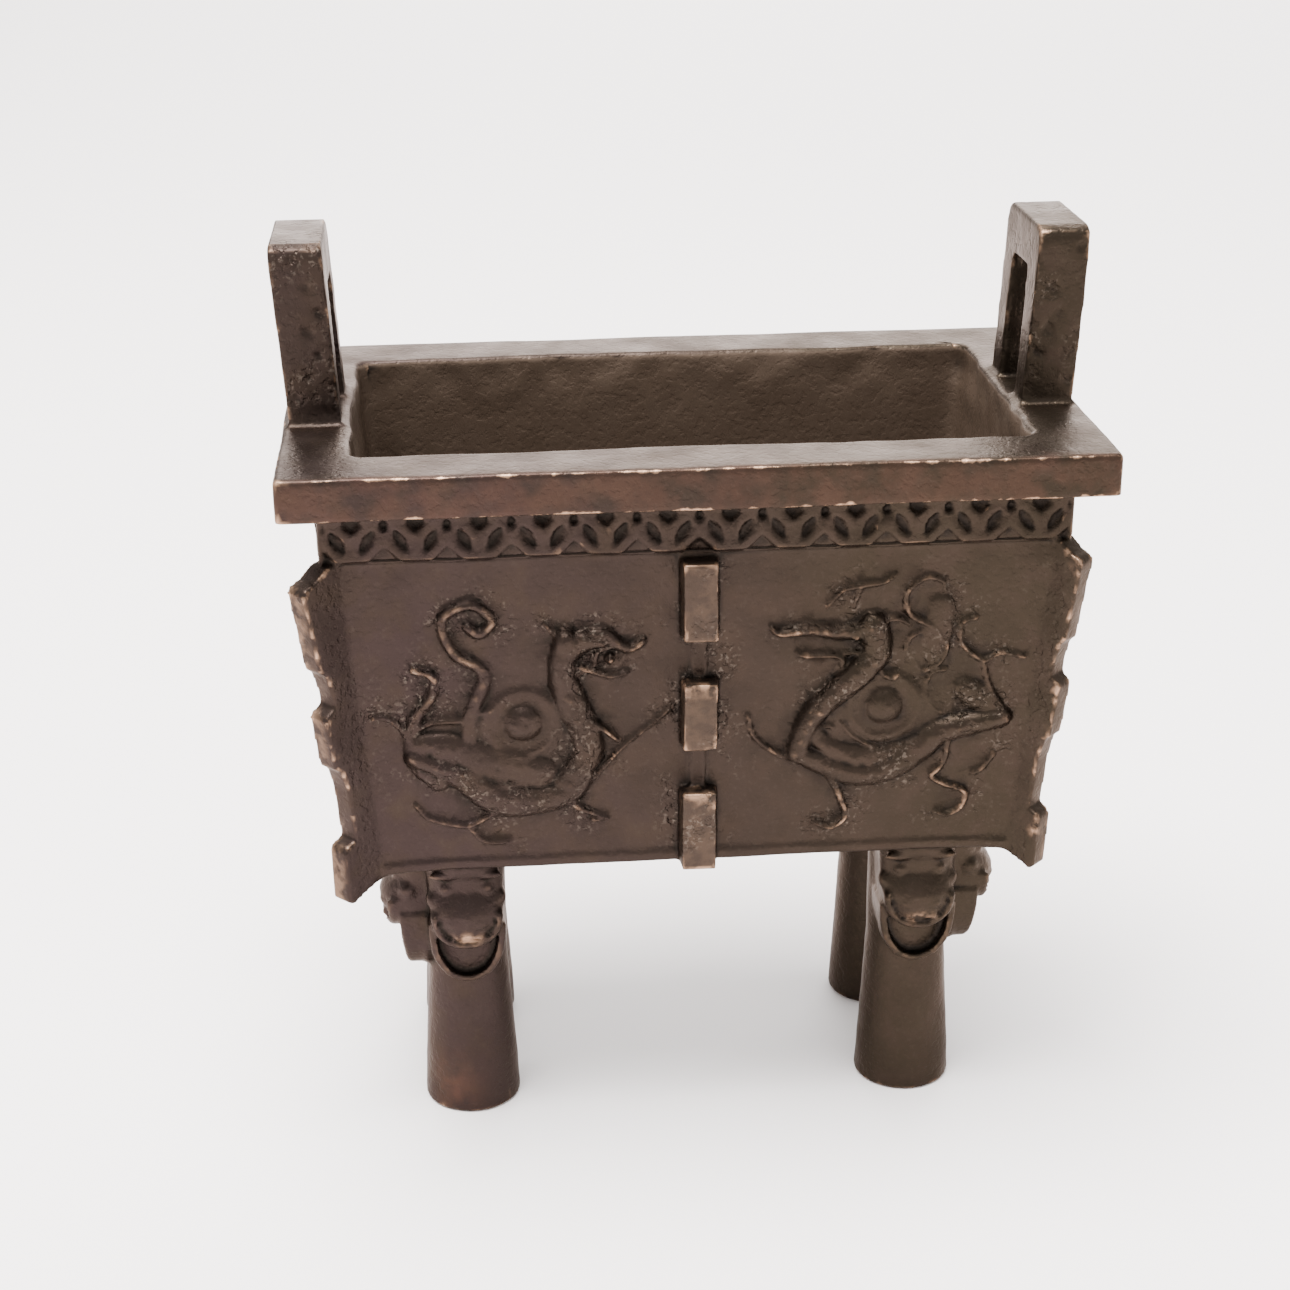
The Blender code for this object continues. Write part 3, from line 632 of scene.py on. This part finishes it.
def evaluated_copy(item):
    """The object's mesh with its modifiers applied."""
    graph = bpy.context.evaluated_depsgraph_get()
    return bpy.data.meshes.new_from_object(item.evaluated_get(graph))


def read_points(mesh):
    """The vertices as rows of x, y, z in metres."""
    flat = np.empty(len(mesh.vertices) * 3)
    mesh.vertices.foreach_get("co", flat)
    return flat.reshape(-1, 3)


def bulge(mesh):
    """Signed roundness at each vertex: above 0 on ridges, below 0 in hollows."""
    points = read_points(mesh) / MM
    normals = np.empty(len(points) * 3)
    mesh.vertices.foreach_get("normal", normals)
    normals = normals.reshape(-1, 3)
    ends = np.empty(len(mesh.edges) * 2, dtype=int)
    mesh.edges.foreach_get("vertices", ends)
    ends = ends.reshape(-1, 2)
    run = points[ends[:, 1]] - points[ends[:, 0]]
    length = np.maximum((run ** 2).sum(axis=1), 1e-6)
    total = np.zeros(len(points))
    count = np.zeros(len(points))
    for end, way in ((ends[:, 0], -1), (ends[:, 1], 1)):
        np.add.at(total, end, way * (run * normals[end]).sum(axis=1) / length)
        np.add.at(count, end, 1)
    value = total / np.maximum(count, 1)
    for _ in range(3):
        spread = np.zeros(len(points))
        np.add.at(spread, ends[:, 0], value[ends[:, 1]])
        np.add.at(spread, ends[:, 1], value[ends[:, 0]])
        value = 0.5 * value + 0.5 * spread / np.maximum(count, 1)
    return value


def store(mesh, name, values):
    """Keeps one value a vertex under a name that the material reads."""
    layer = mesh.attributes.new(name, 'FLOAT', 'POINT')
    layer.data.foreach_set("value", values.astype(np.float32))


def cast_censer():
    """The whole casting as one skin."""
    bm = bmesh.new()
    for build in (vessel, corner_plates, face_blocks, legs, masks, handles):
        build(bm)
    bmesh.ops.recalc_face_normals(bm, faces=bm.faces)
    bmesh.ops.triangulate(bm, faces=bm.faces)
    mesh = bpy.data.meshes.new("shells")
    bm.to_mesh(mesh)
    bm.free()
    shells = linked("shells", mesh)
    remesh = shells.modifiers.new("one_skin", 'REMESH')
    remesh.mode = 'VOXEL'
    remesh.voxel_size = VOXEL * MM
    remesh.adaptivity = 0.0
    soften = shells.modifiers.new("soften", 'SMOOTH')
    soften.factor = 0.5
    soften.iterations = 2
    skin_mesh = evaluated_copy(shells)
    bpy.data.objects.remove(shells, do_unlink=True)

    moved = sculpt(read_points(skin_mesh) / MM)
    skin_mesh.vertices.foreach_set("co", (moved * MM).ravel())
    skin_mesh.update()
    skin = linked("skin", skin_mesh)
    triangles = sum(len(face.vertices) - 2 for face in skin_mesh.polygons)
    thin = skin.modifiers.new("thin", 'DECIMATE')
    thin.ratio = min(1.0, FACE_LIMIT / triangles)
    final = evaluated_copy(skin)
    bpy.data.objects.remove(skin, do_unlink=True)
    final.name = "censer_cast"
    final.shade_smooth()
    return linked("censer_cast", final)


# Rubbed places of the front relief as (x, height, size)
RUBBED = (
    (-16.8, 85.0, 4.5), (19.0, 106.5, 6.5), (28.0, 99.0, 5.5), (22.0, 90.0, 5.0), (11.0, 84.0, 4.0),
    (27.0, 68.0, 4.0), (50.0, 68.5, 2.5),
)
LIP_HEIGHT = 42.6
GROUND_REACH = 3.2


def rubbed_metal(x, y, z, round_at, on_block):
    """How bare the metal is, from 0 under the patina to 1."""
    wear = smoothstep(0.14, 0.40, round_at)
    on_wall = (np.abs(x) < wall_x(z) - 1.5) & (np.abs(x) > 5) & (z > BODY_FOOT + 1) & (z < PANEL_TOP + 11)
    wear = np.where(on_wall, 0.52 * wear, wear)
    on_mask = (z > 30) & (z < BODY_FOOT)
    lip_tip = np.exp(-(((np.abs(x) - LEG_X) / 2.0) ** 2 + (z - LIP_HEIGHT) ** 2)) * (np.abs(y) > LEG_Y + 11)
    wear = np.where(on_mask, 0.10 * wear + 1.2 * lip_tip, wear)
    for at_x, at_z, size in RUBBED:
        spot_near = np.exp(-((x - at_x) ** 2 + (z - at_z) ** 2) / size ** 2) * (y < 0)
        wear = np.where(on_wall, wear * (1 + 1.6 * spot_near), wear)
    for top, _ in FACE_BLOCKS[1:]:
        wear += 0.5 * np.exp(-((z - top + 0.5) / 0.8) ** 2) * on_block * (y < 0)
    corner_tip = smoothstep(4.2, 6.0, np.abs(x) - wall_x(z)) * (z < 121) * (z > 54)
    return np.clip(wear + 0.30 * corner_tip + 0.04 * on_block, 0, 1)


def painted_hollow_shade(x, y, z, round_at):
    """Painted shade where the surface turns in, darkening the hollows as shade would; thinner by the flared corners.
    """
    hollow = smoothstep(-0.03, -0.20, round_at)
    by_corner = (wall_x(z) - np.abs(x) < 10) & (wall_y(z) - np.abs(y) < 10)
    return np.where(by_corner & (z > BODY_FOOT) & (z < PANEL_TOP), 0.2 * hollow, hollow)


def rough_ground(x, y, z):
    """The rough ground round the beasts and the blocks, and the skin of the handles."""
    ground = np.zeros(len(x))
    up = z - BODY_FOOT
    for sign in (-1, 1):
        on_face = (sign * y > wall_y(z) - 1.5) & (np.abs(x) < wall_x(z) + 2) & (up > -1) & (up < RELIEF_TOP)
        at = np.where(on_face)[0]
        spot = np.stack((-sign * x[at], up[at]), axis=1)
        by_dragon = near_lines(spot, DRAGON, DRAGON_START, GROUND_REACH)
        by_phoenix = near_lines(spot, PHOENIX, PHOENIX_START, GROUND_REACH)
        by_block = smoothstep(9.0, 4.0, np.abs(x[at]))
        by_corner = smoothstep(9.0, 3.0, wall_x(z[at]) - np.abs(x[at]))
        ground[at] = np.maximum.reduce((by_dragon, by_phoenix, by_block, 0.15 * by_corner))
    return np.maximum(ground, 0.7 * (z > RIM_TOP + 4))


def mark_wear(mesh):
    """Where hands and time have rubbed the metal, and where shade is painted into the hollows."""
    points = read_points(mesh) / MM
    x, y, z = points.T
    round_at = bulge(mesh)
    on_block = (np.abs(x) < 4.5) & (np.abs(y) > wall_y(z) + 1.2) & (z > BODY_FOOT) & (z < PANEL_TOP)
    leg_patch = np.exp(-(((x + 49) / 5) ** 2 + ((y + 26) / 4) ** 2 + ((z - 5) / 7) ** 2))
    rim_face = (y < -RIM_HALF_Y + 1.2) & (z > RIM_FOOT - 0.5)
    inside = (np.abs(x) < MOUTH_X + 0.4) & (np.abs(y) < MOUTH_Y + 0.4)
    inside &= (z > FLOOR_TOP - 1) & (z < RIM_TOP - 0.5)
    inside &= (np.abs(x) < wall_x(z) - 1.5) & (np.abs(y) < wall_y(z) - 1.5)
    store(mesh, "ground", rough_ground(x, y, z))
    store(mesh, "wear", rubbed_metal(x, y, z, round_at, on_block))
    # The hollow value is painted shade, darker where the surface turns in
    store(mesh, "hollow", painted_hollow_shade(x, y, z, round_at))
    store(mesh, "patch", np.clip(0.6 * leg_patch + 0.32 * rim_face, 0, 1))
    store(mesh, "inside", np.maximum(inside, 0.20 * on_block))


# Materials, with colours as sRGB hex codes

LEFT_BROWN = "#2C2321"
RIGHT_BROWN = "#2A231C"
CLOUD_BROWN = "#2F2620"
HANDLED_BROWN = "#49332A"
DULL_BROWN = "#4A3D33"
HOLLOW_SHADE = "#191512"
# Painted shade: the near black laid into the hollows
MINERAL_SPECKS = "#665C53"
BARE_COPPER = "#A08068"
WARM_GLANCE = "#E4DAD4"
STUDIO_PAPER = "#FBF4F2"
STUDIO_WHITE = "#FFFFFF"


def linear(code):
    """Linear colour of an sRGB hex code."""
    channels = [int(code[i:i + 2], 16) / 255 for i in (1, 3, 5)]
    return [c / 12.92 if c <= 0.04045 else ((c + 0.055) / 1.055) ** 2.4 for c in channels] + [1.0]


def node(tree, kind, inputs=None, **settings):
    """Add a node, set its options and link or fill its sockets."""
    made = tree.nodes.new(kind)
    for key, value in settings.items():
        setattr(made, key, value)
    for key, value in (inputs or {}).items():
        if isinstance(value, bpy.types.NodeSocket):
            tree.links.new(value, made.inputs[key])
        else:
            made.inputs[key].default_value = value
    return made


def mottle(tree, size_mm, detail, low, high):
    """Noise in object space, one feature about size_mm across, spread to 0..1."""
    place = node(tree, "ShaderNodeTexCoord")
    noise = node(tree, "ShaderNodeTexNoise",
                 {"Vector": place.outputs["Object"], "Scale": 1000 / size_mm, "Detail": detail})
    return node(tree, "ShaderNodeMapRange",
                {"Value": noise.outputs["Fac"], "From Min": low, "From Max": high}).outputs["Result"]


# Settings of arithmetic that stays within 0..1
TIMES = {"operation": 'MULTIPLY', "use_clamp": True}
PLUS = {"operation": 'ADD', "use_clamp": True}
LARGER = {"operation": 'MAXIMUM', "use_clamp": True}


def rim_edges(tree):
    """Ragged bright lines along the square edges of the rim."""
    place = node(tree, "ShaderNodeTexCoord")
    axes = node(tree, "ShaderNodeSeparateXYZ", {"Vector": place.outputs["Object"]})
    # Distances in metres from the planes that meet in the edges
    apart = []
    for axis, plane in (("X", RIM_HALF_X), ("Y", RIM_HALF_Y), ("Z", RIM_TOP), ("Z", RIM_FOOT)):
        mirrored = node(tree, "ShaderNodeMath", {0: axes.outputs[axis]}, operation='ABSOLUTE')
        beyond = node(tree, "ShaderNodeMath", {0: mirrored.outputs[0], 1: plane * MM}, operation='SUBTRACT')
        apart.append(node(tree, "ShaderNodeMath", {0: beyond.outputs[0]}, operation='ABSOLUTE').outputs[0])
    off_x, off_y, off_top, off_foot = apart
    off_z = node(tree, "ShaderNodeMath", {0: off_top, 1: off_foot}, operation='MINIMUM').outputs[0]
    edges = []
    for first, second in ((off_y, off_z), (off_x, off_z), (off_x, off_y)):
        edges.append(node(tree, "ShaderNodeMath", {0: first, 1: second}, operation='MAXIMUM').outputs[0])
    nearest = edges[0]
    for edge in edges[1:]:
        nearest = node(tree, "ShaderNodeMath", {0: nearest, 1: edge}, operation='MINIMUM').outputs[0]
    # The lines are broken by the mottle, and gone 1 mm from the edge
    broken = node(tree, "ShaderNodeMath", {0: mottle(tree, 3.2, 5, 0.42, 0.74), 1: 1.4}, operation='MULTIPLY')
    faded = node(tree, "ShaderNodeMath", {0: nearest, 1: 1.4 / MM}, operation='MULTIPLY')
    ragged = node(tree, "ShaderNodeMath", {0: broken.outputs[0], 1: faded.outputs[0]}, operation='SUBTRACT')
    return node(tree, "ShaderNodeMath", {0: ragged.outputs[0], 1: 1.6}, **TIMES).outputs[0]


def patina_colour(tree, kept, ground):
    """Colour of the patina with painted shade in its hollows, specks and bare metal."""
    place = node(tree, "ShaderNodeTexCoord")
    across = node(tree, "ShaderNodeSeparateXYZ", {"Vector": place.outputs["Object"]}).outputs["X"]
    side = node(tree, "ShaderNodeMapRange", {"Value": across, "From Min": -50 * MM, "From Max": 50 * MM})
    clouds = node(tree, "ShaderNodeMath", {0: mottle(tree, 45, 3, 0.45, 0.70), 1: 0.4}, **TIMES)
    side = node(tree, "ShaderNodeMath", {0: side.outputs["Result"], 1: clouds.outputs[0]}, **PLUS)
    handled = node(tree, "ShaderNodeMath", {0: kept["patch"], 1: mottle(tree, 5, 4, 0.35, 0.60)}, **TIMES)
    rough = node(tree, "ShaderNodeMath", {0: ground, 1: 0.05}, **PLUS)
    specks = node(tree, "ShaderNodeMath", {0: mottle(tree, 0.8, 3, 0.56, 0.66), 1: rough.outputs[0]}, **TIMES)
    specks = node(tree, "ShaderNodeMath", {0: specks.outputs[0], 1: 0.48}, **TIMES)
    bare = node(tree, "ShaderNodeMath", {0: kept["wear"], 1: mottle(tree, 2.6, 4, 0.42, 0.60)}, **TIMES)
    bare = node(tree, "ShaderNodeMath", {0: bare.outputs[0], 1: rim_edges(tree)}, **LARGER)
    layers = (
        # Broad clouds of purplish and olive brown
        (side.outputs[0], RIGHT_BROWN),
        (mottle(tree, 7, 5, 0.45, 0.75), CLOUD_BROWN),
        # Reddish brown where the rim and one leg are handled
        (handled.outputs[0], HANDLED_BROWN),
        # Dull brown inside the bowl, then painted shade in the hollows
        (kept["inside"], DULL_BROWN),
        (kept["hollow"], HOLLOW_SHADE),
        # Pale mineral specks in the ground of the relief
        (specks.outputs[0], MINERAL_SPECKS),
        # Broken lines of bare copper along the ridges
        (bare.outputs[0], BARE_COPPER),
    )
    colour = linear(LEFT_BROWN)
    for share, code in layers:
        colour = node(tree, "ShaderNodeMix", {0: share, 6: colour, 7: linear(code)}, data_type='RGBA').outputs[2]
    return colour


def cast_grain(tree, ground):
    """Cast grain and scattered pits as a bump; the grain is drawn coarser than it is, to show."""
    grain = mottle(tree, 0.9, 3, -0.5, 1.5)
    rough = node(tree, "ShaderNodeMath", {0: ground, 1: 0.15}, **PLUS).outputs[0]
    pits = node(tree, "ShaderNodeMath", {0: mottle(tree, 1.5, 3, 0.50, 0.62), 1: rough}, **TIMES).outputs[0]
    sunk = node(tree, "ShaderNodeMath", {0: pits, 1: -2.6}, operation='MULTIPLY').outputs[0]
    height = node(tree, "ShaderNodeMath", {0: grain, 1: sunk}, operation='ADD').outputs[0]
    bump = node(tree, "ShaderNodeBump", {"Height": height, "Strength": 0.55, "Distance": 0.18 * MM})
    return bump.outputs["Normal"]


def patina_bronze():
    """Dark brown patina, semi-gloss, rubbed to copper on the ridges."""
    material = bpy.data.materials.new("patinated_bronze")
    material.use_nodes = True
    tree = material.node_tree
    shader = tree.nodes["Principled BSDF"]
    # What mark_wear keeps at each vertex
    kept = {}
    for name in ("ground", "wear", "hollow", "patch", "inside"):
        kept[name] = node(tree, "ShaderNodeAttribute", attribute_name=name).outputs["Fac"]
    ground = node(tree, "ShaderNodeMath", {0: kept["ground"], 1: mottle(tree, 8, 4, 0.46, 0.66)}, **TIMES).outputs[0]
    metal = node(tree, "ShaderNodeMapRange", {"Value": kept["inside"], "To Min": 0.88, "To Max": 0.35})
    clouds = mottle(tree, 9, 4, 0.3, 0.7)
    gloss = node(tree, "ShaderNodeMapRange", {"Value": clouds, "To Min": 0.33, "To Max": 0.50})
    tree.links.new(patina_colour(tree, kept, ground), shader.inputs["Base Color"])
    tree.links.new(metal.outputs["Result"], shader.inputs["Metallic"])
    tree.links.new(gloss.outputs["Result"], shader.inputs["Roughness"])
    tree.links.new(cast_grain(tree, ground), shader.inputs["Normal"])
    shader.inputs["IOR"].default_value = 1.36
    shader.inputs["Specular Tint"].default_value = linear(WARM_GLANCE)
    return material


def plain_white():
    """Pale studio paper."""
    material = bpy.data.materials.new("studio_paper")
    material.use_nodes = True
    shader = material.node_tree.nodes["Principled BSDF"]
    shader.inputs["Base Color"].default_value = linear(STUDIO_PAPER)
    shader.inputs["Roughness"].default_value = 0.7
    return material


censer = cast_censer()
mark_wear(censer.data)
censer.data.materials.append(patina_bronze())
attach(censer, "root")
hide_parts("censer")


# Studio: paper, light and camera

PAPER_HALF = 6.0
WORLD_STRENGTH = 1.7
CAMERA_PLACE = Vector((-43.40, -450.23, 270.05)) * MM
CAMERA_YAW = 0.081
CAMERA_PITCH = 0.3798
CAMERA_ROLL = -0.0082
CAMERA_LENS = 67.68
CAMERA_SENSOR = 36.0


def studio_floor():
    """A wide sheet of paper under the feet."""
    bm = bmesh.new()
    bmesh.ops.create_grid(bm, x_segments=1, y_segments=1, size=PAPER_HALF)
    mesh = bpy.data.meshes.new("studio_floor")
    bm.to_mesh(mesh)
    bm.free()
    mesh.materials.append(plain_white())
    linked("studio_floor", mesh)


def soft_light(name, place, aim, width, watts):
    """A square lamp at one place in metres, turned to another."""
    lamp = bpy.data.lights.new(name, 'AREA')
    lamp.shape = 'SQUARE'
    lamp.size = width
    lamp.energy = watts
    item = bpy.data.objects.new(name, lamp)
    item.location = place
    item.rotation_euler = (Vector(aim) - Vector(place)).to_track_quat('-Z', 'Y').to_euler()
    bpy.context.scene.collection.objects.link(item)


def white_world():
    """Even white light from all round."""
    world = bpy.data.worlds.new("studio")
    bpy.context.scene.world = world
    world.use_nodes = True
    background = world.node_tree.nodes["Background"]
    background.inputs["Color"].default_value = linear(STUDIO_WHITE)
    background.inputs["Strength"].default_value = WORLD_STRENGTH


def photo_camera():
    """The camera of the photograph: from the front, a little left and above."""
    forward = Vector((math.sin(CAMERA_YAW) * math.cos(CAMERA_PITCH),
                      math.cos(CAMERA_YAW) * math.cos(CAMERA_PITCH), -math.sin(CAMERA_PITCH)))
    level = Vector((math.cos(CAMERA_YAW), -math.sin(CAMERA_YAW), 0))
    above = level.cross(forward)
    right = math.cos(CAMERA_ROLL) * level + math.sin(CAMERA_ROLL) * above
    top = -math.sin(CAMERA_ROLL) * level + math.cos(CAMERA_ROLL) * above
    camera = bpy.data.objects.new("camera", bpy.data.cameras.new("camera"))
    camera.data.lens = CAMERA_LENS
    camera.data.sensor_width = CAMERA_SENSOR
    turned = Matrix((right, top, -forward)).transposed().to_4x4()
    camera.matrix_world = Matrix.Translation(CAMERA_PLACE) @ turned
    bpy.context.scene.collection.objects.link(camera)
    bpy.context.scene.camera = camera


studio_floor()
white_world()
soft_light("top_light", (-0.25, -0.15, 1.5), (0, 0, 0.05), 0.9, 95)
soft_light("back_light", (0.3, 1.9, 1.1), (0, 0, 0.12), 1.8, 60)
photo_camera()
